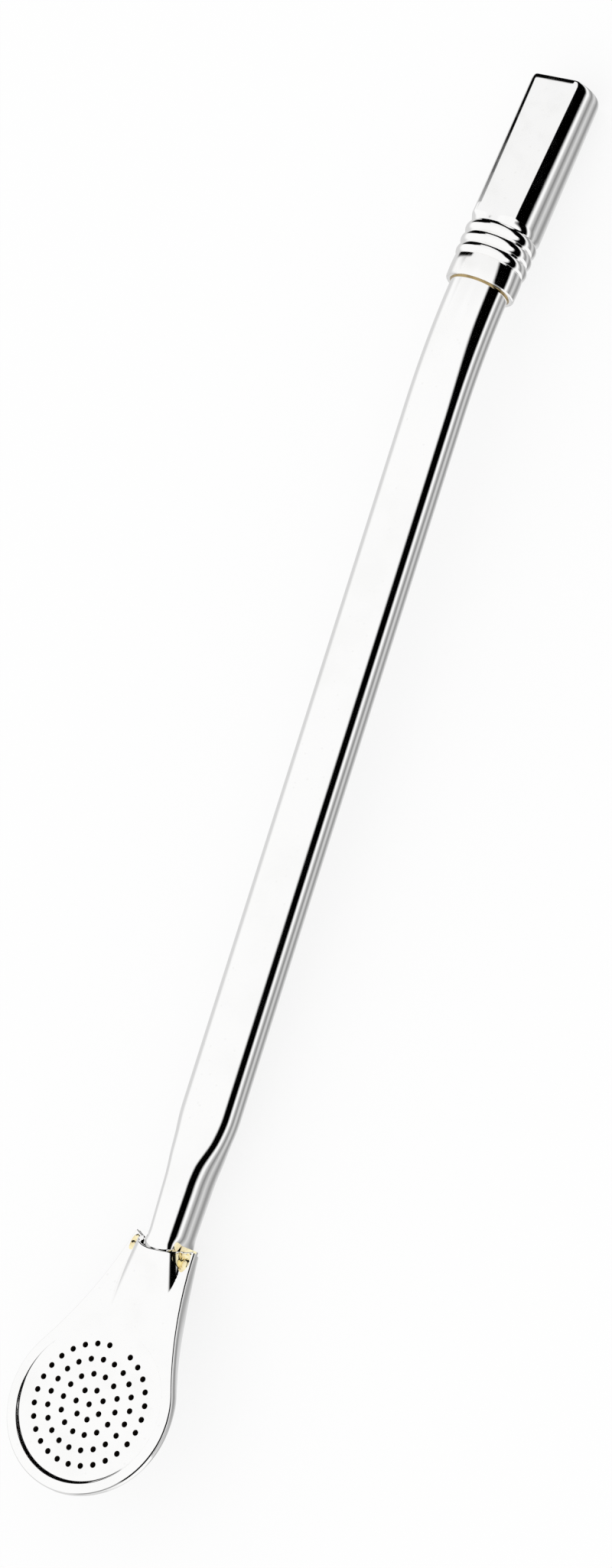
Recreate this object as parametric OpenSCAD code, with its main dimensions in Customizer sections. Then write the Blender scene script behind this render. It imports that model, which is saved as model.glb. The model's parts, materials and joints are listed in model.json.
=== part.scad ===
/* [Stem] */
// Outside diameter of the stem tube
stem_d = 8; // [6:0.1:10]
// Wall of the stem tube
stem_wall = 0.5; // [0.4:0.05:0.7]
// Straight length between the pinched end and the bend
stem_straight = 96.3; // [60:0.1:140]
// Radius of the bend under the mouthpiece, on the centre line
bend_r = 85; // [60:1:140]
// Angle of the bend under the mouthpiece
bend_angle = 11.5; // [6:0.5:18]
// Width of the pinched end, across the strainer
pinch_w = 4.5; // [4:0.1:5.4]
// Height of the pinched end, which grows as the tube is squeezed
pinch_h = 8.7; // [8:0.1:9.4]
// Length over which the round tube narrows into the pinched end
pinch_taper = 12.5; // [8:0.5:20]
// Pinched length that shows outside the strainer
pinch_show = 5; // [4:0.5:12]
// Pinched length inside the strainer's neck
pinch_inside = 3; // [2:0.1:4]

/* [Mouthpiece] */
// Length of the mouthpiece from its collar's lower edge to its tip
mouth_len = 30.1; // [26:0.1:40]
// Wall of the mouthpiece
mouth_wall = 0.5; // [0.4:0.05:0.8]
// Width of the flattened body above the rings
mouth_base_w = 9.2; // [8.6:0.1:10]
// Depth of the flattened body above the rings
mouth_base_d = 9; // [8.4:0.1:9.6]
// Radius of the crowned sides of the flattened body above the rings
mouth_base_crown = 6.8; // [5.6:0.1:9]
// Corner radius of the flattened body above the rings
mouth_base_corner = 1.2; // [0.9:0.1:2]
// Width of the tip
mouth_tip_w = 9.4; // [8.4:0.1:10.4]
// Depth of the tip
mouth_tip_d = 7.6; // [6.4:0.1:8.6]
// Radius of the crowned sides of the tip
mouth_tip_crown = 5.8; // [5:0.1:9]
// Corner radius of the tip
mouth_tip_corner = 1; // [0.9:0.1:2]
// Length over which the round root turns into the flattened body
mouth_shoulder = 1; // [0.6:0.1:3]
// Depth of the chamfer round the lip
lip_chamfer = 0.15; // [0.1:0.01:0.2]
// Depth that the stem reaches into the mouthpiece
stem_seat = 7.5; // [4:0.1:8]

/* [Collar and rings] */
// Height of the plain collar band
collar_h = 3.2; // [2:0.1:4]
// Outside diameter of the collar at its ends
collar_d = 9.5; // [9.3:0.1:10.4]
// Swell of the collar's side beyond its ends
collar_swell = 0.06; // [0.04:0.01:0.3]
// Height of one bead ring
ring_h = 1.65; // [1.2:0.05:2]
// Height that a bead stands out from the mouthpiece's root
ring_proud = 0.42; // [0.2:0.02:0.7]
// Leg of the brazed fillet between the collar and the stem
collar_braze_leg = 0.35; // [0.25:0.05:0.7]

/* [Strainer] */
// Radius of the round bowl, out to its rim
bowl_r = 11.8; // [10.6:0.1:14]
// Distance from the bowl's centre to the neck edge
neck_len = 23.4; // [20:0.1:30]
// Width of the rim at the neck edge
neck_w = 9.5; // [8.8:0.1:11]
// Radius of the hollow flanks between bowl and neck
flank_r = 55; // [40:1:80]
// Angle between the rim's plane and the stem
rim_angle = 15.6; // [10:0.2:18]
// Height of the rim's plane over the stem's axis at the neck edge
rim_over_axis = 1.4; // [1:0.1:1.8]
// Sheet thickness of the front
front_t = 0.5; // [0.4:0.05:0.6]
// Sheet thickness of the back
back_t = 0.5; // [0.4:0.05:0.6]
// Depth of the bowl's back below the rim
bowl_depth = 5.4; // [4.8:0.1:7]
// Radius of the round pan pressed into the front
pan_r = 10.4; // [9.6:0.1:10.8]
// Depth of the pan at the bowl's centre
pan_depth = 0.35; // [0.3:0.05:0.6]
// Angle that the pan's floor falls towards the bowl's tip
pan_fall = 1.6; // [1:0.1:3]
// Slope of the pan's wall from upright
pan_draft = 35; // [20:1:45]
// Angle that each side of the ridge over the stem's end spreads towards the bowl
ridge_flare = 17; // [10:1:22]
// Room between the ridge and the top of the stem's end
ridge_room = 0.4; // [0.1:0.05:0.5]
// Depth of the hollow in the front's neck edge
neck_dip = 1.2; // [0.4:0.1:1.6]

/* [Perforations] */
// Number of rings of holes round the centre hole
hole_rings = 4; // [2:1:4]
// Holes in the innermost ring, and added by each ring outside it
holes_per_ring = 7; // [5:1:8]
// Distance between one ring of holes and the next
hole_pitch = 2; // [1.7:0.05:2.05]
// Diameter of one hole
hole_d = 0.8; // [0.6:0.05:1]

/* [Hidden] */
$fn = 96;

// Clearance of a sliding fit before it is brazed, per side
fit_gap = 0.05;
// Extra reach of a cutting solid past the face that it cuts
over = 1;
// Angle of the first hole in each ring, and the one outer hole that solder has closed
hole_phase = [32, 5, 12, 6];
closed_hole = 6;
// How far the shaped ends of the stem lie inside the straight tube's wall
tuck = 0.03;
tuck_len = 0.6;
tucked_r = stem_d / 2 - tuck;
tucked_wall = stem_wall - 2 * tuck;
// Stations and points of the shaped surfaces
loft_points = 36;
taper_steps = 8;
bend_steps = 8;
shoulder_steps = 4;
body_steps = 6;
bowl_steps = 10;
flank_steps = 14;
section_steps = 24;
belly_steps = 40;
settle_rounds = 12;
hole_sides = 24;
flank_sides = 360;
swell_sides = 240;
// Exponents of the bowl's rounded section and of the snugger section at the neck
bowl_round = 1.9;
neck_round = 4;
// Chamfer under the rim's edge where the back's body starts, and where the bowl's stations start, in degrees
seam_lip = 0.15;
tip_cut = 4;
// Smoothness of the change from the bowl's back to the neck's back
back_blend = 0.8;
// Where the back starts to draw in towards the stem, and where it has done so
draw_from = 4;
draw_to = 18;
// Size and place of the solder run beside the ridge
solder_r = 3;
solder_rise = 0.42;
solder_out = 1.1;
solder_back = 0.8;

stem_r = stem_d / 2;
pinch_hx = pinch_w / 2;
// The stem's axis lies on Y with the neck edge at zero
taper_y = pinch_show;
straight_y = taper_y + pinch_taper;
bend_y = straight_y + stem_straight;
bend_end_y = bend_y + bend_r * sin(bend_angle);
bend_end_z = -bend_r * (1 - cos(bend_angle));
root_r = stem_r + fit_gap + mouth_wall;
rings_z = collar_h;
root_h = collar_h + 3 * ring_h;
ridge_r = pinch_hx + fit_gap * 2 + front_t;
ridge_top = pinch_h / 2 + ridge_room + front_t;
seam_z = -front_t;

// The hollow flank touches the bowl's circle and ends at the neck's corner
flank_far = bowl_r + flank_r;
corner = [neck_w / 2, neck_len];
corner_far = norm(corner);
flank_along = (flank_far^2 - flank_r^2 + corner_far^2) / (2 * corner_far);
flank_aside = sqrt(flank_far^2 - flank_along^2);
flank_c = [corner.x * flank_along + corner.y * flank_aside,
    corner.y * flank_along - corner.x * flank_aside] / corner_far;
touch = flank_c * bowl_r / flank_far;

function lerp(a, b, t) = a + (b - a) * t;
function ease(t) = let (c = min(max(t, 0), 1)) c * c * (3 - 2 * c);
function soft_min(a, b, k) = (a + b - sqrt((a - b)^2 + k^2)) / 2;
function sgn(v) = v < 0 ? -1 : 1;

// Half the rim's width at a distance e from the bowl's centre towards the neck
function rim_half(e) = e < touch.y ? sqrt(max(bowl_r^2 - e^2, 0))
    : flank_c.x - sqrt(flank_r^2 - (e - flank_c.y)^2);
// Half the width of the back's body, drawn in from the rim towards the stem
function body_half(e) = let (draw = ease((e - draw_from) / (draw_to - draw_from)))
    rim_half(e) - (neck_w / 2 - pinch_hx - 2 * fit_gap - back_t - seam_lip) * draw;
// Depth below the rim that just clears the stem's underside
function stem_under(e) = rim_over_axis / cos(rim_angle) + (neck_len - e) * tan(rim_angle)
    + pinch_h / 2 / cos(rim_angle) + 2 * fit_gap + back_t;
function bowl_under(e) = e < 0 ? bowl_depth * (1 - min(-e / bowl_r, 1)^bowl_round)^(1 / bowl_round)
    : lerp(bowl_depth, stem_under(draw_to) + back_blend, ease(e / draw_to));
function back_under(e) = e < 0 ? bowl_under(e)
    : soft_min(bowl_under(e), stem_under(e) + back_blend / 4, back_blend * ease(e / draw_to));

// One ring of a section with round corners, centred on an axis
function round_box(hx, hz, r, n) = [for (i = [0 : n - 1]) let (t = (i + 0.5) * 360 / n)
    [r * cos(t) + sgn(cos(t)) * (hx - r), r * sin(t) + sgn(sin(t)) * (hz - r)]];
// One ring of a section with flat faces, crowned sides and small corners
function crowned_box(hx, hz, crown, r, n) = let (cz = hz - r, across = sqrt((crown - r)^2 - cz^2),
        side_turn = asin(cz / (crown - r)))
    [for (i = [0 : n - 1]) let (t = (i + 0.5) * 360 / n, c = abs(cos(t)), s = abs(sin(t)))
        asin(s) < side_turn ? [sgn(cos(t)) * (hx - crown + crown * c), sgn(sin(t)) * crown * s]
            : [sgn(cos(t)) * (hx - crown + across + r * c), sgn(sin(t)) * (cz + r * s)]];
// Lower half of a rounded section, closed by a straight top edge
function bowl_section(hx, depth, p, top, n) = [for (i = [0 : n]) let (t = 180 + 180 * i / n)
    [hx * sgn(cos(t)) * abs(cos(t))^(2 / p), top - depth * abs(sin(t))^(2 / p)]];

function flip(face) = [for (i = [len(face) - 1 : -1 : 0]) face[i]];

// Triangles between neighbouring rings of n points, closed round or open at the top
function bands(count, n, closed) = [for (k = [0 : count - 2]) for (i = [0 : closed ? n - 1 : n - 2])
    let (j = (i + 1) % n, a = k * n, b = a + n) each [[a + i, b + j, b + i], [a + i, a + j, b + j]]];

// Triangles across a ring whose left and right halves mirror each other
function rungs(n) = [for (i = [0 : (n - 3) / 2]) let (b = i + 1, c = n - 2 - i, d = n - 1 - i)
    each (b == c ? [[i, b, d]] : [[i, b, c], [i, c, d]])];

// Tube between outer and inner rings of points, each ring placed at [y, z, lean]
module loft_tube(outer, inner, places) {
    n = len(outer[0]);
    top = (len(outer) - 1) * n;
    shift = n * len(outer);
    points = [for (rings = [outer, inner]) for (k = [0 : len(rings) - 1]) for (p = rings[k])
        [p.x, places[k][0] + p.y * sin(places[k][2]), places[k][1] + p.y * cos(places[k][2])]];
    skin = bands(len(outer), n, true);
    bore = [for (f = skin) flip(f) + [shift, shift, shift]];
    near = [for (i = [0 : n - 1]) let (j = (i + 1) % n)
        each [[i, j + shift, j], [i, i + shift, j + shift]]];
    far = [for (i = [0 : n - 1]) let (j = (i + 1) % n)
        each [[top + j, top + i + shift, top + i], [top + j, top + j + shift, top + i + shift]]];
    polyhedron(points, concat(skin, bore, near, far));
}

// Lowest point of the back when the whole is turned by an angle about X
function turned_z(p, a) = p.x * sin(a) + p.y * cos(a);
function turned_y(p, a) = p.x * cos(a) - p.y * sin(a);
function in_stem(e, z) = [(e - neck_len) * cos(rim_angle) + z * sin(rim_angle),
    rim_over_axis - (e - neck_len) * sin(rim_angle) + z * cos(rim_angle)];
belly = [for (i = [0 : belly_steps]) let (e = neck_len * i / belly_steps)
    in_stem(e, seam_z - back_under(e) + front_t)];
function in_mouth(m, z) = [bend_end_y + m * cos(bend_angle) + z * sin(bend_angle),
    bend_end_z - m * sin(bend_angle) + z * cos(bend_angle)];
heel = in_mouth(mouth_len - 2 * lip_chamfer, -mouth_tip_d / 2);
function lowest(a) = min([for (p = belly) turned_z(p, a)]);
function settle(a, n) = n == 0 ? a
    : settle(a + (lowest(a) - turned_z(heel, a)) / norm(heel) * 180 / PI, n - 1);
// Turn that lays the piece on its back, resting on the neck and on the mouthpiece's tip
rest_angle = settle(0, settle_rounds);
rest_z = -turned_z(heel, rest_angle);
tip_y = turned_y(in_stem(-bowl_r, seam_z - back_t), rest_angle);
mouth_y = max(turned_y(in_mouth(mouth_len, mouth_tip_d / 2 - lip_chamfer), rest_angle),
    turned_y(in_mouth(mouth_len - 2 * lip_chamfer, mouth_tip_d / 2), rest_angle));
rest_y = -(tip_y + mouth_y) / 2;

module at_rest() {
    translate([0, rest_y, rest_z]) rotate([rest_angle, 0, 0]) children();
}

// Rim frame: bowl's centre at the origin, neck towards +Y, top of the rim at zero
module in_rim() {
    translate([0, 0, rim_over_axis]) rotate([-rim_angle, 0, 0]) translate([0, -neck_len, 0]) children();
}

// Mouthpiece frame: Z along the mouthpiece from the collar's lower edge, depth along -Y
module in_mouthpiece() {
    translate([0, bend_end_y, bend_end_z]) rotate([-90 - bend_angle, 0, 0]) children();
}

module tube_along_y(r, wall, from, to) {
    translate([0, from, 0]) rotate([-90, 0, 0]) difference() {
        cylinder(h = to - from, r = r);
        translate([0, 0, -over]) cylinder(h = to - from + 2 * over, r = r - wall);
    }
}

// The pinched end and the bend are tucked a little into the wall of the straight tube
module stem_pinch() {
    steps = [for (k = [0 : taper_steps]) k / taper_steps];
    places = concat([[-pinch_inside, 0, 0]], [for (t = steps) [taper_y + pinch_taper * t, 0, 0]],
        [[straight_y + tuck_len, 0, 0]]);
    along = concat([0], [for (t = steps) ease(t)], [1]);
    function rings(inset) = [for (t = along) let (w = lerp(pinch_hx, tucked_r, t) - inset)
        round_box(w, lerp(pinch_h / 2, tucked_r, t) - inset, w, loft_points)];
    loft_tube(rings(0), rings(tucked_wall), places);
}

module stem_bend() {
    turns = [for (k = [0 : bend_steps]) bend_angle * k / bend_steps];
    places = concat([[bend_y - tuck_len, 0, 0]],
        [for (a = turns) [bend_y + bend_r * sin(a), -bend_r * (1 - cos(a)), a]],
        [concat(in_mouth(stem_seat, 0), bend_angle)]);
    loft_tube([for (k = places) round_box(tucked_r, tucked_r, tucked_r, loft_points)],
        [for (k = places) let (r = tucked_r - tucked_wall) round_box(r, r, r, loft_points)], places);
}

module stem_tube() {
    color("gainsboro") at_rest() {
        stem_pinch();
        tube_along_y(stem_r, stem_wall, straight_y, bend_y);
        stem_bend();
    }
}

module mouthpiece() {
    shoulder_at = [for (k = [1 : shoulder_steps]) k / shoulder_steps];
    body_at = [for (k = [1 : body_steps]) k / body_steps];
    body_from = root_h + mouth_shoulder;
    body_to = mouth_len - 2 * lip_chamfer;
    along = concat([0, root_h], [for (t = shoulder_at) root_h + mouth_shoulder * t],
        [for (t = body_at) lerp(body_from, body_to, t)], [mouth_len]);
    function root_ring(inset) = let (r = root_r - inset) round_box(r, r, r, loft_points);
    function base_ring(inset) = crowned_box(mouth_base_w / 2 - inset, mouth_base_d / 2 - inset,
        mouth_base_crown - inset, mouth_base_corner - inset, loft_points);
    function tip_ring(inset) = crowned_box(mouth_tip_w / 2 - inset, mouth_tip_d / 2 - inset,
        mouth_tip_crown - inset, mouth_tip_corner - inset, loft_points);
    function rings(inset) = let (root = root_ring(inset), base = base_ring(inset), tip = tip_ring(inset))
        concat([root, root], [for (t = shoulder_at) lerp(root, base, ease(t))],
            [for (t = body_at) lerp(base, tip, t)]);
    color("silver") at_rest()
        loft_tube(concat(rings(0), [tip_ring(lip_chamfer)]),
            concat(rings(mouth_wall), [tip_ring(mouth_wall)]),
            [for (m = along) concat(in_mouth(m, 0), bend_angle)]);
}

// Plain band with a slightly swollen side
module collar() {
    side = [collar_d / 2, collar_h / 2];
    swell_r = (side.y^2 + collar_swell^2) / (2 * collar_swell);
    color("silver") at_rest() in_mouthpiece() rotate_extrude() intersection() {
        translate([root_r, 0]) square([collar_d, collar_h]);
        translate([side.x + collar_swell - swell_r, side.y]) circle(r = swell_r, $fn = swell_sides);
    }
}

// Bead with a half-round outside
module bead(level) {
    bead_r = ((ring_h / 2)^2 + ring_proud^2) / (2 * ring_proud);
    color("silver") at_rest() in_mouthpiece() translate([0, 0, rings_z + level * ring_h])
        rotate_extrude() intersection() {
            translate([root_r, 0]) square([ring_proud * 2, ring_h]);
            translate([root_r + ring_proud - bead_r, ring_h / 2]) circle(r = bead_r);
        }
}

module ring_lower() { bead(0); }
module ring_middle() { bead(1); }
module ring_upper() { bead(2); }

// Brazed fillet in the corner between the collar and the stem
module collar_braze() {
    inner = stem_r + fit_gap / 2;
    color("goldenrod") at_rest() in_mouthpiece() translate([0, 0, -collar_braze_leg]) rotate_extrude()
        polygon([[inner, 0], [inner + collar_braze_leg, collar_braze_leg], [inner, collar_braze_leg]]);
}

module rim_outline() {
    circle(r = bowl_r);
    difference() {
        translate([-touch.x, touch.y]) square([2 * touch.x, neck_len - touch.y]);
        for (side = [-1, 1]) translate([side * flank_c.x, flank_c.y]) circle(r = flank_r, $fn = flank_sides);
    }
}

// Everything above a plane parallel to the pan's floor, at a height over the floor at the centre
module above_floor(height) {
    reach = 4 * bowl_r;
    translate([0, 0, -pan_depth]) rotate([pan_fall, 0, 0]) translate([-reach / 2, -reach / 2, height])
        cube([reach, reach, reach]);
}

// Sloping round pan, widened by a sheet thickness for its underside
module pan_form(grow, height) {
    deep = pan_depth + bowl_r * tan(pan_fall) + 2 * front_t;
    top_r = pan_r + grow;
    intersection() {
        translate([0, 0, -deep]) cylinder(h = deep, r1 = top_r - deep * tan(pan_draft), r2 = top_r);
        above_floor(height);
    }
}

// Cone over the stem's end: its top runs level with the stem while its sides spread towards the bowl
module ridge_form(inset) {
    spread = tan(ridge_flare);
    near_r = (ridge_r - inset) / 4;
    far_r = (ridge_r - inset + neck_len * spread) / cos(ridge_flare);
    translate([0, (ridge_r - inset) / spread, ridge_top - inset]) rotate([90 + ridge_flare, 0, 0])
        translate([0, 0, near_r / spread])
            cylinder(h = (far_r - near_r) / spread, r1 = near_r, r2 = far_r);
}

module perforations() {
    reach = 4 * front_t;
    translate([0, 0, -pan_depth]) rotate([pan_fall, 0, 0]) translate([0, 0, -reach / 2]) {
        cylinder(h = reach, d = hole_d, $fn = hole_sides);
        for (ring = [1 : hole_rings]) for (i = [0 : ring * holes_per_ring - 1])
            if (ring < hole_rings || i != closed_hole)
                rotate([0, 0, hole_phase[ring - 1] + i * 360 / (ring * holes_per_ring)])
                    translate([ring * hole_pitch, 0, 0]) cylinder(h = reach, d = hole_d, $fn = hole_sides);
    }
}

module strainer_front() {
    dip_r = ((neck_w / 2)^2 + neck_dip^2) / (2 * neck_dip);
    color("whitesmoke") at_rest() difference() {
        union() {
            in_rim() difference() {
                union() {
                    translate([0, 0, seam_z]) linear_extrude(height = front_t) rim_outline();
                    pan_form(front_t, -front_t);
                }
                pan_form(0, 0);
            }
            intersection() {
                ridge_form(0);
                in_rim() translate([-bowl_r, 0, seam_z]) cube([2 * bowl_r, 2 * neck_len, neck_len]);
            }
        }
        in_rim() perforations();
        ridge_form(front_t);
        translate([0, dip_r - neck_dip, 0]) cylinder(h = 4 * stem_r, r = dip_r, center = true);
    }
}

// Section points of the back from the left rim round to the right rim, outside and inside
function back_outer(e) = let (w = rim_half(e), b = body_half(e) - seam_lip, top = seam_z,
        deep = max(back_under(e) - front_t - back_t - seam_lip, back_t))
    concat([[-w, top], [-w, top - back_t]],
        bowl_section(b, deep, section_round(e), top - back_t - seam_lip, section_steps),
        [[w, top - back_t], [w, top]]);
function back_inner(e) = let (b = max(body_half(e) - seam_lip - back_t, seam_lip), top = seam_z,
        deep = max(back_under(e) - front_t - 2 * back_t, back_t / 2))
    concat([[-b, top], [-b, top - back_t / 2]],
        bowl_section(b, deep, section_round(e), top - back_t, section_steps),
        [[b, top - back_t / 2], [b, top]]);
function section_round(e) = lerp(bowl_round, neck_round, ease(e / neck_len));

module strainer_back() {
    bowl_e = [for (k = [0 : bowl_steps - 1]) -bowl_r * cos(tip_cut + (90 - tip_cut) * k / bowl_steps)];
    outer_e = concat(bowl_e, [for (k = [0 : flank_steps]) neck_len * k / flank_steps]);
    shrink = (bowl_r - seam_lip - back_t) / bowl_r;
    inner_e = [for (e = outer_e) e < 0 ? e * shrink : e];
    outer = [for (e = outer_e) back_outer(e)];
    inner = [for (e = outer_e) back_inner(e)];
    n = len(outer[0]);
    last = len(outer) - 1;
    shift = n * len(outer);
    points = concat([for (k = [0 : last]) for (p = outer[k]) [p.x, outer_e[k], p.y]],
        [for (k = [0 : last]) for (p = inner[k]) [p.x, inner_e[k], p.y]]);
    skin = bands(len(outer), n, false);
    hollow = [for (f = skin) flip(f) + [shift, shift, shift]];
    left_rim = [for (k = [0 : last - 1]) let (a = k * n, b = a + n)
        each [[a, b + shift, a + shift], [a, b, b + shift]]];
    right_rim = [for (k = [0 : last - 1]) let (a = k * n + n - 1, b = a + n)
        each [[a, b + shift, b], [a, a + shift, b + shift]]];
    tip = concat([for (f = rungs(n)) flip(f)], [for (f = rungs(n)) f + [shift, shift, shift]],
        [[shift, n - 1 + shift, n - 1], [shift, n - 1, 0]]);
    neck = [for (i = [0 : n - 2]) let (a = last * n + i)
        each [[a, a + 1 + shift, a + shift], [a, a + 1, a + 1 + shift]]];
    color("gainsboro") at_rest() in_rim()
        polyhedron(points, concat(skin, hollow, left_rim, right_rim, tip, neck));
}

// Solder that has run into the corner between the ridge and the rim
module neck_solder(side) {
    color("goldenrod") at_rest() difference() {
        in_rim() intersection() {
            translate([side * (ridge_r + solder_out), neck_len - solder_back - neck_dip,
                solder_rise - solder_r]) sphere(r = solder_r);
            translate([-neck_w / 2, 0, 0]) cube([neck_w, neck_len, solder_r]);
        }
        ridge_form(0);
        translate([side > 0 ? -neck_w : 0, -neck_len, -neck_len]) cube([neck_w, 2 * neck_len, 2 * neck_len]);
    }
}

module neck_braze_left() { neck_solder(-1); }
module neck_braze_right() { neck_solder(1); }

stem_tube();
mouthpiece();
collar();
ring_lower();
ring_middle();
ring_upper();
collar_braze();
strainer_front();
strainer_back();
neck_braze_left();
neck_braze_right();
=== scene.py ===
import json
import math

import bmesh
import bpy
import numpy as np
from mathutils import Matrix, Vector


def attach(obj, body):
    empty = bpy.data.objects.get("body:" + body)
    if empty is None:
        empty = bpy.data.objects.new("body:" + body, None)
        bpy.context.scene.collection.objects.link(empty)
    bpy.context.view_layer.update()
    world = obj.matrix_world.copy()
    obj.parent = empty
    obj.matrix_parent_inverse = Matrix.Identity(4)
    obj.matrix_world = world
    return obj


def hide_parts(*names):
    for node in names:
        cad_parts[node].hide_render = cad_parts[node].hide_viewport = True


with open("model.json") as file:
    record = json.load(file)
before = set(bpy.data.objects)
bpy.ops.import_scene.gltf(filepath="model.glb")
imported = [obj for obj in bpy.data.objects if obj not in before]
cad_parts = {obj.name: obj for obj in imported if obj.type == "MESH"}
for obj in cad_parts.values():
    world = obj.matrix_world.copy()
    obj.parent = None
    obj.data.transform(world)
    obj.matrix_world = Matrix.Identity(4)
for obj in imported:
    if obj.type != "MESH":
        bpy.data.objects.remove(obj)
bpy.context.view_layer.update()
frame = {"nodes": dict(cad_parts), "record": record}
print("frame loaded:", sorted(frame["nodes"]))

mm = 0.001
small, tiny = 1e-6, 1e-9  # keep roots and divisions off zero
scene = bpy.context.scene
scene.view_settings.view_transform = "Standard"

# lengths in millimetres and angles in degrees, most of them as the solids have them
stem = dict(radius=4.0, wall=0.5, straight=96.3, bendRadius=85.0, bendAngle=11.5, seat=7.5,
            pinchWidth=4.5, pinchHeight=8.7, pinchTaper=12.5, pinchShow=5.0, pinchInside=3.0,
            narrow=1.22, narrowFrom=7.0, narrowTo=17.5, narrowDraw=0.035,
            tall=0.58, tallFrom=10.5, tallTo=14.5, tallDraw=0.026, flatFrom=-1.2, flatTo=1.0,
            around=128, fineSteps=721, pinchSteps=83, straightSteps=13, bendSteps=33)

straightStart = stem["pinchShow"] + stem["pinchTaper"]
straightEnd = straightStart + stem["straight"]
bendTurn = math.radians(stem["bendAngle"])
bendEnd = (straightEnd + stem["bendRadius"] * math.sin(bendTurn),
           -stem["bendRadius"] * (1 - math.cos(bendTurn)))

# the grip on the straight part gives the stem's line: its middle, and how it leans at rest
grip = next(m for m in frame["record"]["mounts"] if m["name"] == "stem_grip")
restTurn = math.atan2(grip["axis"][2], grip["axis"][1])
gripMiddle = straightStart + stem["straight"] / 2
restY = grip["pos_m"][1] / mm - gripMiddle * math.cos(restTurn)
restZ = grip["pos_m"][2] / mm - gripMiddle * math.sin(restTurn)


# from the stem's own place, with its axis on Y and the neck's edge at 0
def restPlace(points):
    p = np.asarray(points, float)
    c, s = math.cos(restTurn), math.sin(restTurn)
    return np.stack([p[..., 0], p[..., 1] * c - p[..., 2] * s + restY,
                     p[..., 1] * s + p[..., 2] * c + restZ], -1) * mm


# from the mouthpiece's own place, with Z along it from the collar's lower edge
def mouthPlace(points):
    p = np.asarray(points, float)
    c, s = math.cos(bendTurn), math.sin(bendTurn)
    return restPlace(np.stack([p[..., 0], bendEnd[0] + p[..., 2] * c + p[..., 1] * s,
                               bendEnd[1] - p[..., 2] * s + p[..., 1] * c], -1))


def ease(t):
    c = np.clip(t, 0.0, 1.0)
    return c * c * (3 - 2 * c)


def gridFaces(rows, columns, wrapColumns=False, wrapRows=False, start=0):
    faces = []
    for k in range(rows if wrapRows else rows - 1):
        for i in range(columns if wrapColumns else columns - 1):
            j, m = (i + 1) % columns, (k + 1) % rows
            faces.append((start + k * columns + i, start + k * columns + j,
                          start + m * columns + j, start + m * columns + i))
    return faces


finish = dict(merge=1e-7, slim=1e-8, sharp=32)  # metres, metres and degrees


def makePiece(name, points, faces, material, slotName, nodes, **options):
    mesh = bpy.data.meshes.new(name)
    mesh.from_pydata([tuple(p) for p in np.asarray(points).reshape(-1, 3)], [], faces)
    finishPiece(name, mesh, material, slotName, nodes, **options)


# merged, outward, smooth with sharp creases, and riding on the only body; coatOf gives a face's coat, or 0
def finishPiece(name, mesh, material, slotName, nodes, sharp=finish["sharp"], coats=(), coatOf=None):
    shape = bmesh.new()
    shape.from_mesh(mesh)
    mesh.materials.clear()
    for each in (material, *coats):
        mesh.materials.append(each)
    bmesh.ops.remove_doubles(shape, verts=shape.verts, dist=finish["merge"])
    bmesh.ops.dissolve_degenerate(shape, edges=shape.edges, dist=finish["slim"])
    bmesh.ops.recalc_face_normals(shape, faces=shape.faces)
    for face in shape.faces:
        face.smooth = True
        face.material_index = coatOf(face) if coatOf else 0
    shape.to_mesh(mesh)
    openEdges = sum(1 for edge in shape.edges if len(edge.link_faces) != 2)
    shape.free()
    mesh.set_sharp_from_angle(angle=math.radians(sharp))
    piece = bpy.data.objects.new(name, mesh)
    scene.collection.objects.link(piece)
    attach(piece, "root")
    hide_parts(*nodes)
    print("piece", name, len(mesh.polygons), "faces,", openEdges, "open edges")


# a node with its settings, and its inputs by name or number; an input is another node's output or a value
def addNode(tree, kind, inputs=None, **settings):
    node = tree.nodes.new(kind)
    for key, value in settings.items():
        setattr(node, key, value)
    for key, value in (inputs or {}).items():
        if isinstance(value, bpy.types.NodeSocket):
            tree.links.new(value, node.inputs[key])
        else:
            node.inputs[key].default_value = value
    return node


def mathNode(tree, operation, *values):
    return addNode(tree, "ShaderNodeMath", dict(enumerate(values)), operation=operation).outputs[0]


def rampNode(tree, source, low, high, toLow=0.0, toHigh=1.0):
    inputs = {"Value": source, "From Min": low, "From Max": high, "To Min": toLow, "To Max": toHigh}
    node = addNode(tree, "ShaderNodeMapRange", inputs, interpolation_type="SMOOTHSTEP")
    return node.outputs["Result"]


# polished plate: hairlines along the piece, soft cloudiness and specks, shared by all the metals
polish = dict(stretch=0.06, hairlineDetail=3.0, cloudDetail=4.0, speckSize=700.0, speck=(0.06, 0.16),
              haze=(0.42, 0.72), hazeTint=0.6, hairlineWear=0.6, hazeWear=0.4, wear=(0.2, 0.8),
              bumpDistance=0.00002)


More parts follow.
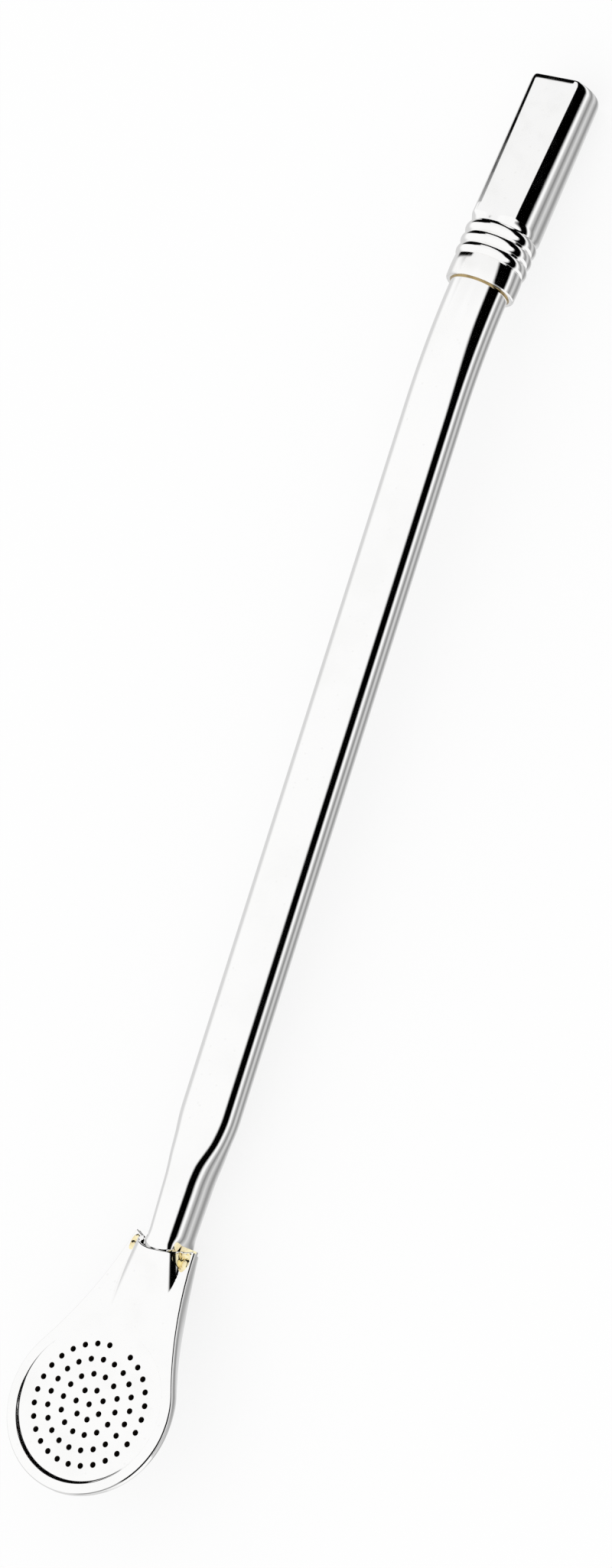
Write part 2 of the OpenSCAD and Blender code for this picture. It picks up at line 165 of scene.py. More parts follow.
def polishGroup():
    group = bpy.data.node_groups.new("handPolish", "ShaderNodeTree")
    group.interface.new_socket("Vector", in_out="INPUT", socket_type="NodeSocketVector")
    for name in ("Hairline Size", "Cloud Size"):
        group.interface.new_socket(name, in_out="INPUT", socket_type="NodeSocketFloat")
    for name in ("Hairline", "Cloud", "Speck"):
        group.interface.new_socket(name, in_out="OUTPUT", socket_type="NodeSocketFloat")
    inside = group.nodes.new("NodeGroupInput").outputs
    outside = group.nodes.new("NodeGroupOutput").inputs
    stretched = addNode(group, "ShaderNodeMapping", {
        "Vector": inside["Vector"], "Scale": (1.0, polish["stretch"], 1.0)})
    lines = addNode(group, "ShaderNodeTexNoise", {
        "Vector": stretched.outputs[0], "Scale": inside["Hairline Size"], "Detail": polish["hairlineDetail"]})
    clouds = addNode(group, "ShaderNodeTexNoise", {
        "Vector": inside["Vector"], "Scale": inside["Cloud Size"], "Detail": polish["cloudDetail"]})
    cells = addNode(group, "ShaderNodeTexVoronoi", {
        "Vector": inside["Vector"], "Scale": polish["speckSize"]})
    specks = rampNode(group, cells.outputs["Distance"], *polish["speck"], 1.0, 0.0)
    group.links.new(lines.outputs["Fac"], outside["Hairline"])
    group.links.new(clouds.outputs["Fac"], outside["Cloud"])
    group.links.new(specks, outside["Speck"])
    return group


handPolish = polishGroup()


def newMaterial(name):
    material = bpy.data.materials.new(name)
    material.use_nodes = True
    return material, material.node_tree


def mixedColour(tree, share, first, second):
    mix = addNode(tree, "ShaderNodeMix", {"Factor": share, "A": (*first, 1.0), "B": (*second, 1.0)},
                  data_type="RGBA")
    return mix.outputs["Result"]


def metalMaterial(name, bright, dull, smooth, rough, hairlines, hairlineSize, cloudSize, turn=0.0):
    material, tree = newMaterial(name)
    shader = tree.nodes["Principled BSDF"].inputs
    shader["Metallic"].default_value = 1.0
    place = tree.nodes.new("ShaderNodeTexCoord")
    turned = addNode(tree, "ShaderNodeMapping", {
        "Vector": place.outputs["Object"], "Rotation": (turn, 0.0, 0.0)})
    marks = addNode(tree, "ShaderNodeGroup", {
        "Vector": turned.outputs[0], "Hairline Size": hairlineSize, "Cloud Size": cloudSize},
        node_tree=handPolish).outputs
    haze = rampNode(tree, marks["Cloud"], *polish["haze"])
    stain = mathNode(tree, "MAXIMUM", mathNode(tree, "MULTIPLY", haze, polish["hazeTint"]), marks["Speck"])
    tree.links.new(mixedColour(tree, stain, bright, dull), shader["Base Color"])
    worn = mathNode(tree, "MULTIPLY_ADD", marks["Hairline"], polish["hairlineWear"],
                    mathNode(tree, "MULTIPLY", haze, polish["hazeWear"]))
    tree.links.new(rampNode(tree, worn, *polish["wear"], smooth, rough), shader["Roughness"])
    bump = addNode(tree, "ShaderNodeBump", {
        "Height": marks["Hairline"], "Strength": hairlines, "Distance": polish["bumpDistance"]})
    tree.links.new(bump.outputs[0], shader["Normal"])
    return material


# painted shade: a dark brown coat inside the spoon and in its holes, standing in for the shade there
innerShade = dict(dark=(0.012, 0.009, 0.007), pale=(0.045, 0.032, 0.022), cloudSize=900.0, cloudDetail=3.0,
           roughness=0.6, shine=0.2)


# painted shade: near-black brown with a little cloudiness, for the hidden inside of the spoon
def innerShadeMaterial():
    material, tree = newMaterial("innerShadeFilm")
    shader = tree.nodes["Principled BSDF"].inputs
    place = tree.nodes.new("ShaderNodeTexCoord")
    clouds = addNode(tree, "ShaderNodeTexNoise", {
        "Vector": place.outputs["Object"], "Scale": innerShade["cloudSize"], "Detail": innerShade["cloudDetail"]})
    colour = mixedColour(tree, clouds.outputs["Fac"], innerShade["dark"], innerShade["pale"])
    tree.links.new(colour, shader["Base Color"])
    shader["Roughness"].default_value = innerShade["roughness"]
    shader["Specular IOR Level"].default_value = innerShade["shine"]
    return material


stemMetal = metalMaterial("stemPlate", bright=(0.97, 0.968, 0.965), dull=(0.93, 0.928, 0.922),
                          smooth=0.03, rough=0.08, hairlines=0.05, hairlineSize=1500.0, cloudSize=120.0)
mouthMetal = metalMaterial("mouthpiecePlate", bright=(0.97, 0.968, 0.965), dull=(0.93, 0.927, 0.92),
                           smooth=0.035, rough=0.10, hairlines=0.06, hairlineSize=1800.0, cloudSize=260.0,
                           turn=bendTurn)
ringMetal = metalMaterial("ringPlate", bright=(0.965, 0.962, 0.957), dull=(0.91, 0.905, 0.895),
                          smooth=0.03, rough=0.09, hairlines=0.05, hairlineSize=1800.0, cloudSize=260.0)
spoonMetal = metalMaterial("strainerPlate", bright=(0.97, 0.968, 0.965), dull=(0.93, 0.928, 0.922),
                           smooth=0.035, rough=0.10, hairlines=0.05, hairlineSize=1600.0, cloudSize=200.0)
brazeMetal = metalMaterial("goldenBraze", bright=(0.98, 0.89, 0.58), dull=(0.58, 0.38, 0.16),
                           smooth=0.06, rough=0.20, hairlines=0.10, hairlineSize=900.0, cloudSize=700.0)
lineMetal = metalMaterial("collarBrazeLine", bright=(0.44, 0.33, 0.16), dull=(0.15, 0.10, 0.04),
                          smooth=0.10, rough=0.25, hairlines=0.10, hairlineSize=900.0, cloudSize=700.0)
# painted shade for the inside of the spoon and the walls of its holes
innerShadeFilm = innerShadeMaterial()
print("materials ready")


# a section with flat sides and round ends, evenly spaced from the middle of its underside
def slotLoop(halfX, halfZ, count):
    corner = min(halfX, halfZ)
    turns = np.linspace(-math.pi / 2, 3 * math.pi / 2, stem["fineSteps"])
    cx, cz = np.cos(turns), np.sin(turns)
    signX = np.where(np.abs(cx) < tiny, 0, np.sign(cx))
    signZ = np.where(np.abs(cz) < tiny, 0, np.sign(cz))
    x = corner * cx + signX * (halfX - corner)
    z = corner * cz + signZ * (halfZ - corner)
    run = np.concatenate([[0], np.cumsum(np.hypot(np.diff(x), np.diff(z)))])
    steps = np.linspace(0, run[-1], count, endpoint=False)
    return np.stack([np.interp(steps, run, x), np.interp(steps, run, z)], -1)


# stem: pinched flat where it enters the spoon, bent under the mouthpiece
def stemLoops(inset):
    loops = []
    turns = np.linspace(-math.pi / 2, 3 * math.pi / 2, stem["around"], endpoint=False)
    ring = np.stack([np.cos(turns), np.sin(turns)], -1)
    flat = slotLoop(stem["pinchWidth"] / 2 - inset, stem["pinchHeight"] / 2 - inset, stem["around"])
    stations = list(np.linspace(-stem["pinchInside"], straightStart, stem["pinchSteps"]))
    stations += list(np.linspace(straightStart, straightEnd, stem["straightSteps"])[1:])
    for y in stations:
        wide = stem["narrow"] * (1 - ease((y - stem["narrowFrom"]) / (stem["narrowTo"] - stem["narrowFrom"])))
        tall = stem["tall"] * (1 - ease((y - stem["tallFrom"]) / (stem["tallTo"] - stem["tallFrom"])))
        halfX = stem["radius"] - inset - wide - stem["narrowDraw"] * max(stem["narrowFrom"] - y, 0)
        halfZ = stem["radius"] - inset + tall - stem["tallDraw"] * max(stem["tallFrom"] - y, 0)
        loop = ring * (halfX, halfZ)
        loop = loop + (flat - loop) * ease((stem["flatTo"] - y) / (stem["flatTo"] - stem["flatFrom"]))
        loops.append(np.stack([loop[:, 0], np.full(len(loop), y), loop[:, 1]], -1))
    loop = ring * (stem["radius"] - inset)
    for turn in bendTurn * np.linspace(0, 1, stem["bendSteps"])[1:]:
        c, s = math.cos(turn), math.sin(turn)
        y, z = straightEnd + stem["bendRadius"] * s, -stem["bendRadius"] * (1 - c)
        loops.append(np.stack([loop[:, 0], y + loop[:, 1] * s, z + loop[:, 1] * c], -1))
    reach = np.array([0.0, math.cos(bendTurn), -math.sin(bendTurn)]) * stem["seat"]
    loops.append(loops[-1] + reach)
    return loops


# closed skin of a ring-shaped body: each loop joins the next, and the last joins the first
def loopSkin(loops):
    return np.concatenate(loops), gridFaces(len(loops), len(loops[0]), wrapColumns=True, wrapRows=True)


points, faces = loopSkin(stemLoops(0.0) + stemLoops(stem["wall"])[::-1])
makePiece("stemTube", restPlace(points), faces, stemMetal, "stem_metal", ["stem_tube"])

# sleeve, collar and beads share the root that sits over the stem's end
mouth = dict(length=30.1, wall=0.5, baseWidth=9.2, baseDepth=9.0, baseCrown=6.8, baseCorner=1.2,
             tipWidth=9.4, tipDepth=7.6, tipCrown=5.8, tipCorner=1.0, shoulder=1.0, lip=0.25, lipRun=0.9,
             rootEdge=0.4, sideSteps=14, cornerSteps=12, faceSteps=10, shoulderSteps=25, bodySteps=17,
             lipSteps=25)
collar = dict(height=3.2, diameter=9.5, swell=0.06, edge=0.14, gap=0.05, sunk=0.02, steps=25, around=160)
beads = dict(count=3, height=1.65, proud=0.42, halfShare=0.4995, profileSteps=15, around=160)
rootRadius = stem["radius"] + collar["gap"] + mouth["wall"]
rootHeight = collar["height"] + beads["count"] * beads["height"]


# section of the mouthpiece: flat faces, crowned sides, small round corners; the same steps for every size
def crownedLoop(halfX, halfZ, crown, corner):
    lift = halfZ - corner
    across = math.sqrt((crown - corner) ** 2 - lift ** 2)
    sideTurn = math.asin(lift / (crown - corner))
    side = np.linspace(0, sideTurn, mouth["sideSteps"], endpoint=False)
    bend = np.linspace(sideTurn, math.pi / 2, mouth["cornerSteps"], endpoint=False)
    face = np.linspace(1, 0, mouth["faceSteps"], endpoint=False)
    faceX = halfX - crown + across
    quarter = np.concatenate([
        np.stack([halfX - crown + crown * np.cos(side), crown * np.sin(side)], -1),
        np.stack([faceX + corner * np.cos(bend), lift + corner * np.sin(bend)], -1),
        np.stack([faceX * face, np.full(len(face), halfZ)], -1)])
    half = np.concatenate([quarter, [[0.0, halfZ]], (quarter[1:] * (-1, 1))[::-1]])
    return np.concatenate([half, -half])


# mouthpiece: round root, then a flattened sleeve with a rolled lip
def mouthLoops():
    base = np.array([mouth["baseWidth"] / 2, mouth["baseDepth"] / 2, mouth["baseCrown"], mouth["baseCorner"]])
    tip = np.array([mouth["tipWidth"] / 2, mouth["tipDepth"] / 2, mouth["tipCrown"], mouth["tipCorner"]])
    bodyStart = rootHeight + mouth["shoulder"]
    lipStart = mouth["length"] - mouth["lipRun"]
    spokes = crownedLoop(*base)
    spokes = spokes / np.linalg.norm(spokes, axis=1, keepdims=True)

    def section(along, inset):
        share = np.clip((along - bodyStart) / (lipStart - bodyStart), 0, 1)
        body = crownedLoop(*(base + (tip - base) * share - inset))
        root = spokes * (rootRadius - inset)
        loop = root + (body - root) * ease((along - rootHeight) / mouth["shoulder"])
        return np.stack([loop[:, 0], loop[:, 1], np.full(len(loop), along)], -1)

    stations = [0.0, rootHeight - mouth["rootEdge"]]
    stations += list(rootHeight + mouth["shoulder"] * np.linspace(0, 1, mouth["shoulderSteps"]))
    stations += list(np.linspace(bodyStart, lipStart, mouth["bodySteps"])[1:])
    outside = [section(along, 0.0) for along in stations]
    roll = [section(lipStart + mouth["lipRun"] * math.sin(t), mouth["lip"] * (1 - math.cos(t)))
            for t in np.linspace(0, math.pi, mouth["lipSteps"])[1:]]
    inside = [section(along, mouth["wall"]) for along in stations[::-1]]
    return outside + roll + inside


points, faces = loopSkin(mouthLoops())
makePiece("mouthpieceSleeve", mouthPlace(points), faces, mouthMetal, "mouthpiece_metal", ["mouthpiece"])


# a ring from its profile of (radius, along, unevenness), with waves of (count, size, phase) round it
def lathe(profile, around, waves=()):
    turns = np.linspace(0, 2 * math.pi, around, endpoint=False)
    run = sum(size * np.sin(count * turns + phase) for count, size, phase in waves)
    loops = []
    for radius, along, uneven in profile:
        r = radius + uneven * run
        loops.append(np.stack([r * np.cos(turns), r * np.sin(turns), np.full(around, along)], -1))
    return loopSkin(loops)


# collar: a plain band with softened edges
def collarProfile():
    half, edge = collar["height"] / 2, collar["edge"]
    inner, outer = rootRadius - collar["sunk"], collar["diameter"] / 2
    side = []
    for t in np.linspace(-1, 1, collar["steps"]):
        along = t * half
        roll = max(abs(along) - (half - edge), 0) / edge
        swell = collar["swell"] * (1 - t * t)
        side.append((outer + swell - edge * (1 - math.sqrt(max(1 - roll * roll, 0))), half + along, 0.0))
    return [(inner, 0.0, 0.0)] + side + [(inner, collar["height"], 0.0)]


points, faces = lathe(collarProfile(), collar["around"])
makePiece("collarBand", mouthPlace(points), faces, ringMetal, "ring_metal", ["collar"])

# golden line under the collar: a fillet that ran unevenly, its hollow face in shares (out, down) of its leg
braze = dict(leg=0.2, sunk=0.02, up=0.06, hollow=((0.25, 0.96), (0.30, 0.52), (0.72, 0.14)), uneven=0.05,
             waves=((3, 0.5, 0.7), (7, 0.3, 2.1), (13, 0.2, 4.0)), around=128, sharp=60)


def brazeProfile():
    radius, leg, up = stem["radius"], braze["leg"], braze["up"]
    inner, outer = radius - braze["sunk"], radius + leg
    face = [(radius + leg * out, -leg * down, braze["uneven"]) for out, down in braze["hollow"]]
    return [(inner, up, 0.0), (inner, -leg, 0.0)] + face + [(outer, 0.0, 0.0), (outer, up, 0.0)]


points, faces = lathe(brazeProfile(), braze["around"], braze["waves"])
makePiece("collarBraze", mouthPlace(points), faces, lineMetal, "braze", ["collar_braze"],
          sharp=braze["sharp"])
print("stem and mouthpiece built")


# Geometry Nodes: a tree with its lengths, counts and metal as inputs
def nodeTree(name, metal, lengths, counts):
    tree = bpy.data.node_groups.new(name, "GeometryNodeTree")
    inputs = [(label, "NodeSocketFloat", value * mm) for label, value in lengths.items()]
    inputs += [(label, "NodeSocketInt", value) for label, value in counts.items()]
    for label, kind, value in inputs + [("Metal", "NodeSocketMaterial", metal)]:
        socket = tree.interface.new_socket(label, in_out="INPUT", socket_type=kind)
        socket.default_value = value
    tree.interface.new_socket("Geometry", in_out="OUTPUT", socket_type="NodeSocketGeometry")
    return tree, tree.nodes.new("NodeGroupInput").outputs


def closeTree(tree, geometry, metal):
    realize = addNode(tree, "GeometryNodeRealizeInstances", {"Geometry": geometry})
    plated = addNode(tree, "GeometryNodeSetMaterial", {"Geometry": realize.outputs[0], "Material": metal})
    out = tree.nodes.new("NodeGroupOutput")
    tree.links.new(plated.outputs[0], out.inputs[0])


def runTree(tree):
    carrier = bpy.data.objects.new(tree.name, bpy.data.meshes.new(tree.name))
    scene.collection.objects.link(carrier)
    modifier = carrier.modifiers.new(tree.name, "NODES")
    modifier.node_group = tree
    bpy.context.view_layer.update()
    depsgraph = bpy.context.evaluated_depsgraph_get()
    mesh = bpy.data.meshes.new_from_object(carrier.evaluated_get(depsgraph))
    carrier.modifiers.clear()
    bpy.data.objects.remove(carrier)
    return mesh


# bead rings: one half-round profile run round the root, repeated along it
def beadTree():
    tree, inside = nodeTree(
        "beadRings", ringMetal,
        {"Root Radius": rootRadius, "Bead Height": beads["height"], "Bead Proud": beads["proud"]},
        {"Bead Count": beads["count"], "Around": beads["around"]})
    half = mathNode(tree, "MULTIPLY", inside["Bead Height"], beads["halfShare"])
    low = mathNode(tree, "MULTIPLY", half, -1.0)
    start = addNode(tree, "ShaderNodeCombineXYZ", {"Y": low})
    middle = addNode(tree, "ShaderNodeCombineXYZ", {"X": inside["Bead Proud"]})
    end = addNode(tree, "ShaderNodeCombineXYZ", {"Y": half})
    arc = addNode(tree, "GeometryNodeCurveArc",
                  {"Start": start.outputs[0], "Middle": middle.outputs[0], "End": end.outputs[0],
                   "Resolution": beads["profileSteps"]}, mode="POINTS")
    profile = addNode(tree, "GeometryNodeSetSplineCyclic", {"Geometry": arc.outputs["Curve"], "Cyclic": True})
    path = addNode(tree, "GeometryNodeCurvePrimitiveCircle",
                   {"Resolution": inside["Around"], "Radius": inside["Root Radius"]})
    upright = addNode(tree, "GeometryNodeSetCurveNormal", {"Curve": path.outputs["Curve"]}, mode="Z_UP")
    bead = addNode(tree, "GeometryNodeCurveToMesh",
                   {"Curve": upright.outputs[0], "Profile Curve": profile.outputs[0]})
    step = addNode(tree, "ShaderNodeCombineXYZ", {"Z": inside["Bead Height"]})
    line = addNode(tree, "GeometryNodeMeshLine", {"Count": inside["Bead Count"], "Offset": step.outputs[0]})
    rings = addNode(tree, "GeometryNodeInstanceOnPoints",
                    {"Points": line.outputs[0], "Instance": bead.outputs[0]})
    closeTree(tree, rings.outputs[0], inside["Metal"])
    return tree


def beadRings():
    mesh = runTree(beadTree())
    points = np.array([vertex.co for vertex in mesh.vertices]) / mm
    points[:, 2] += collar["height"] + beads["height"] / 2
    for vertex, place in zip(mesh.vertices, mouthPlace(points)):
        vertex.co = place
    finishPiece("beadRings", mesh, ringMetal, "ring_metal", ["ring_lower", "ring_middle", "ring_upper"])


beadRings()

# spoon: a pressed sheet with a round pan and a ridge over the stem; the wall of the solid's pan leans more
spoon = dict(bowlRadius=11.8, neckLength=23.4, neckWidth=9.5, flankRadius=55.0, rimAngle=15.6, rimOver=1.4,
             sheet=0.5, bowlDepth=5.4, clearance=0.1,
             panRadius=10.4, panDepth=0.35, panFall=1.6, panDraft=31.0, panRoll=0.12, panSoft=0.25,
             ridgeFlare=17.0, ridgeRoom=0.4, ridgeSide=0.97, ridgeFillet=0.15, ridgeEnd=9.8, ridgeSink=0.5,
             neckDip=1.2, neckRoll=0.22, edgeIn=(0.26, 0.20, 0.15, 0.12, 0.02, 0.0),
             edgeDrop=(0.0, 0.012, 0.045, 0.09, 0.28, 0.36),
             wallFrom=0.1, wallTo=11.1, wallRows=48, neckRows=120, rollSteps=6, edgeRounds=60)
holes = dict(perRing=7, pitch=2.0, diameter=0.8, sides=20, phase=(32, 5, 12, 6), closed=6,
             floorRadius=8.75, edgePoints=480, neckRays=83, drillSheets=3.0, within=0.01, upright=0.5)

# outline: round bowl, then hollow flanks to the neck's corners
bowlRadius, neckLength, neckHalf = spoon["bowlRadius"], spoon["neckLength"], spoon["neckWidth"] / 2
flankFar = bowlRadius + spoon["flankRadius"]
cornerFar = math.hypot(neckHalf, neckLength)
flankAlong = (flankFar ** 2 - spoon["flankRadius"] ** 2 + cornerFar ** 2) / (2 * cornerFar)
flankAside = math.sqrt(flankFar ** 2 - flankAlong ** 2)
flankX = (neckHalf * flankAlong + neckLength * flankAside) / cornerFar
flankE = (neckLength * flankAlong - neckHalf * flankAside) / cornerFar
touchE = flankE * bowlRadius / flankFar
rimTurn = math.radians(spoon["rimAngle"])
ridgeRadius = stem["pinchWidth"] / 2 + spoon["clearance"] + spoon["sheet"]
ridgeTop = stem["pinchHeight"] / 2 + spoon["ridgeRoom"] + spoon["sheet"]
panSlope = math.tan(math.radians(spoon["panFall"]))


# from the rim's own place, with the bowl's middle at 0 and Z out of the rim's plane
def rimPlace(points):
    p = np.asarray(points, float)
    c, s = math.cos(rimTurn), math.sin(rimTurn)
    e = p[..., 1] - neckLength
    return restPlace(np.stack([p[..., 0], e * c + p[..., 2] * s,
                               spoon["rimOver"] - e * s + p[..., 2] * c], -1))


rimUp = Vector(rimPlace((0, 0, 1)) - rimPlace((0, 0, 0))).normalized()
bowlMiddle = Vector(rimPlace((0, 0, 0)))


def rimHalf(e):
    flank = flankX - np.sqrt(spoon["flankRadius"] ** 2 - (np.maximum(e, touchE) - flankE) ** 2)
    return np.where(e < touchE, np.sqrt(np.maximum(bowlRadius ** 2 - e ** 2, 0)), flank)


def softMax(a, b, k):
    h = np.maximum(k - np.abs(a - b), 0) / k
    return np.maximum(a, b) + h * h * k / 4


def softMin(a, b, k):
    return -softMax(-a, -b, k)


# height of the pan over the rim's plane: a sloping floor and a round wall
def panHeight(x, e):
    floor = np.minimum(panSlope * e - spoon["panDepth"], 0.0)
    roll = np.clip(-spoon["panSoft"] * floor, small, spoon["panRoll"])
    wall = (np.hypot(x, e) - spoon["panRadius"]) / math.tan(math.radians(spoon["panDraft"]))
    return softMax(floor, softMin(wall, 0.0, roll), roll)


# the ridge is a cone that widens down the spoon, its top line level with the stem
def ridgeHeight(x, e):
    c, s, t = math.cos(rimTurn), math.sin(rimTurn), math.tan(math.radians(spoon["ridgeFlare"]))
    run = e - neckLength
    far, low = ridgeRadius / t - run * c, ridgeTop - spoon["rimOver"] + run * s
    square = (1 - t * t) * c * c - 2 * t * s * c
    single = 2 * t * (far * c + low * s) - 2 * (1 - t * t) * low * c
    level = (1 - t * t) * low ** 2 - 2 * t * far * low
    widest = np.sqrt(np.maximum(single ** 2 / (4 * square) - level, small))
    sideX = np.minimum(np.abs(x), spoon["ridgeSide"] * widest)  # past this the flank goes on straight
    root = np.sqrt(np.maximum(single ** 2 - 4 * square * (level + sideX ** 2), tiny))
    height = (root - single) / (2 * square) - (np.abs(x) - sideX) * 2 * sideX / root
    return height - spoon["ridgeSink"] * ease(spoon["ridgeEnd"] - e)  # sinks before the first holes


def frontHeight(x, e):
    return softMax(panHeight(x, e), ridgeHeight(x, e), spoon["ridgeFillet"])


# where a cylinder upright on the stem cuts the front off, less the roll of its edge
def neckEdge(x):
    dipRadius = (neckHalf ** 2 + spoon["neckDip"] ** 2) / (2 * spoon["neckDip"])
    y = dipRadius - spoon["neckDip"] - np.sqrt(dipRadius ** 2 - x ** 2)
    e = np.full_like(x, neckLength)
    for _ in range(spoon["edgeRounds"]):
        cut = neckLength + (y - frontHeight(x, e) * math.sin(rimTurn)) / math.cos(rimTurn)
        e = (e + cut) / 2
    return e - spoon["neckRoll"]


# the perforated floor: rings of holes cut from a disc
def floorTree():
    tree, inside = nodeTree(
        "perforatedFloor", spoonMetal,
        {"Floor Radius": holes["floorRadius"], "Sheet": spoon["sheet"],
         "Hole Radius": holes["diameter"] / 2, "Ring Pitch": holes["pitch"]},
        {"Edge Points": holes["edgePoints"], "Hole Sides": holes["sides"],
         "First Ring": holes["perRing"], "Closed Hole": holes["closed"]})
    disc = addNode(tree, "GeometryNodeMeshCylinder", {
        "Vertices": inside["Edge Points"], "Radius": inside["Floor Radius"], "Depth": inside["Sheet"]})
    drill = addNode(tree, "GeometryNodeMeshCylinder", {
        "Vertices": inside["Hole Sides"], "Radius": inside["Hole Radius"],
        "Depth": mathNode(tree, "MULTIPLY", inside["Sheet"], holes["drillSheets"])})
    join = tree.nodes.new("GeometryNodeJoinGeometry")
    tree.links.new(addNode(tree, "GeometryNodeMeshLine", {"Count": 1}).outputs[0], join.inputs[0])
    for ring, phase in enumerate(holes["phase"], 1):
        circle = addNode(tree, "GeometryNodeMeshCircle", {
            "Vertices": mathNode(tree, "MULTIPLY", inside["First Ring"], ring),
            "Radius": mathNode(tree, "MULTIPLY", inside["Ring Pitch"], ring)})
        turned = addNode(tree, "GeometryNodeTransform", {
            "Geometry": circle.outputs[0], "Rotation": (0, 0, math.radians(phase))})
        places = turned.outputs[0]
        if ring == len(holes["phase"]):  # solder has closed one outer hole
            index = tree.nodes.new("GeometryNodeInputIndex")
            same = addNode(tree, "FunctionNodeCompare", {2: index.outputs[0], 3: inside["Closed Hole"]},
                           data_type="INT", operation="EQUAL")
            kept = addNode(tree, "GeometryNodeDeleteGeometry",
                           {"Geometry": places, "Selection": same.outputs[0]})
            places = kept.outputs[0]
        tree.links.new(places, join.inputs[0])
    drills = addNode(tree, "GeometryNodeInstanceOnPoints",
                     {"Points": join.outputs[0], "Instance": drill.outputs[0]})
    solid = addNode(tree, "GeometryNodeRealizeInstances", {"Geometry": drills.outputs[0]})
    cut = addNode(tree, "GeometryNodeMeshBoolean", operation="DIFFERENCE", solver="EXACT")
    tree.links.new(disc.outputs[0], cut.inputs[0])
    tree.links.new(solid.outputs[0], cut.inputs[1])
    closeTree(tree, cut.outputs[0], inside["Metal"])
    return tree


# the pressed sheet round the floor: wall, rim and neck, with its underside and edges
def frontSheet():
    rays, window, rows = holes["edgePoints"], holes["neckRays"], spoon["neckRows"]
    points, faces = [], []

    def addGrid(grid, wrap=False):
        start = sum(len(p) for p in points)
        points.append(grid.reshape(-1, 3))
        faces.extend(gridFaces(*grid.shape[:2], wrapColumns=wrap, start=start))
        return start

    def lifted(x, e, drop=0.0):
        return np.stack([x, e, frontHeight(x, e) - drop], -1)

    turns = np.linspace(0, 2 * math.pi, rays, endpoint=False)
    inset, drop = np.array(spoon["edgeIn"]), np.array(spoon["edgeDrop"])
    floorRadius, innerRim = holes["floorRadius"], bowlRadius - inset[0]
    wall = np.linspace(floorRadius + spoon["wallFrom"], spoon["wallTo"], spoon["wallRows"])
    reach = np.concatenate([[floorRadius], wall, [innerRim]])
    x, e = reach[:, None] * np.sin(turns), reach[:, None] * np.cos(turns)
    addGrid(lifted(x, e), wrap=True)
    addGrid(lifted(x, e, spoon["sheet"]), wrap=True)
    # outer edge round the bowl
    bowlTurns = turns[window:rays - window + 1]
    across = np.append(bowlRadius - inset, [bowlRadius, innerRim])
    heights = np.append(-drop, [-spoon["sheet"], -spoon["sheet"]])
    addGrid(np.stack([across[:, None] * np.sin(bowlTurns), across[:, None] * np.cos(bowlTurns),
                      np.repeat(heights[:, None], len(bowlTurns), 1)], -1))
    # neck between the flanks
    half = turns[window]
    firstSwing = math.atan2(bowlRadius * math.cos(half) - flankE, bowlRadius * math.sin(half) - flankX)
    lastE = neckEdge(np.array([neckHalf - inset[0]]))[0]
    lastSwing = math.pi - math.asin((lastE - flankE) / (spoon["flankRadius"] + inset[0]))
    swing = np.linspace(firstSwing % (2 * math.pi), lastSwing, rows)

    def flank(depth):
        r = spoon["flankRadius"] + depth
        return np.stack([flankX + r * np.cos(swing), flankE + r * np.sin(swing)], -1)

    side = flank(inset[0])
    side[0] = innerRim * math.sin(half), innerRim * math.cos(half)
    span = np.linspace(-1, 1, 2 * window + 1)
    spanTurns = np.concatenate([turns[rays - window:], turns[:window + 1]])
    start = np.stack([innerRim * np.sin(spanTurns), innerRim * np.cos(spanTurns)], -1)
    endX = span * side[-1, 0]
    end = np.stack([endX, neckEdge(endX)], -1)
    end[0], end[-1] = side[-1] * (-1, 1), side[-1]
    along = np.linspace(0, 1, rows)[:, None, None]
    plan = (1 - along) * start + along * end
    lift = side - plan[:, -1]
    plan = plan + np.abs(span)[None, :, None] * np.stack(
        [np.sign(span)[None] * lift[:, :1], np.repeat(lift[:, 1:], len(span), 1)], -1)
    addGrid(lifted(plan[..., 0], plan[..., 1]))
    addGrid(lifted(plan[..., 0], plan[..., 1], spoon["sheet"]))
    # rolled edge of the neck
    tops, unders = lifted(*plan[-1].T), lifted(*plan[-1].T, spoon["sheet"])
    roll = [tops + spoon["neckRoll"] * np.array([0.0, math.sin(t), math.cos(t) - 1])
            for t in np.linspace(0, math.pi / 2, spoon["rollSteps"])]
    edge = np.stack(roll + [unders])
    first = addGrid(edge)
    for column in (0, edge.shape[1] - 1):
        faces.append(tuple(first + row * edge.shape[1] + column for row in range(len(edge))))
    # outer edges along the flanks
    for sign in (-1, 1):
        strip = []
        for depth, height in zip(np.append(inset, [0.0, inset[0]]), heights):
            line = side if depth == inset[0] else flank(depth)
            strip.append(np.stack([sign * line[:, 0], line[:, 1], np.full(rows, height)], -1))
        strip = np.stack(strip, 1)
        strip[0] = np.stack([sign * across * math.sin(half), across * math.cos(half), heights], -1)
        first = addGrid(strip)
        faces.append(tuple(first + (rows - 1) * strip.shape[1] + i for i in range(strip.shape[1])))
    return np.concatenate(points), faces


# the painted shade keeps to the bowl: under the front, on the walls of its holes, and inside the back; at the
# neck's right corner solder has run over the back's inner side
shadeZone = dict(reach=19.5, under=-0.35, wall=0.35, backUp=0.25)


def nearMiddle(face, reach):
    return (face.calc_center_median() - bowlMiddle).length < reach * mm


# the front's underside and the walls of its holes get the painted shade
def frontCoat(face):
    upward = face.normal.dot(rimUp)
    if upward < shadeZone["under"]:
        return int(nearMiddle(face, shadeZone["reach"]))
    return int(abs(upward) < shadeZone["wall"] and nearMiddle(face, holes["floorRadius"]))


# the back's inner side gets the painted shade, except where solder ran at the neck's right corner
def backCoat(face):
    if face.normal.dot(rimUp) < shadeZone["backUp"]:
        return 0
    if nearMiddle(face, shadeZone["reach"]):
        return 1
    return 2 if face.calc_center_median().x > 0 else 0


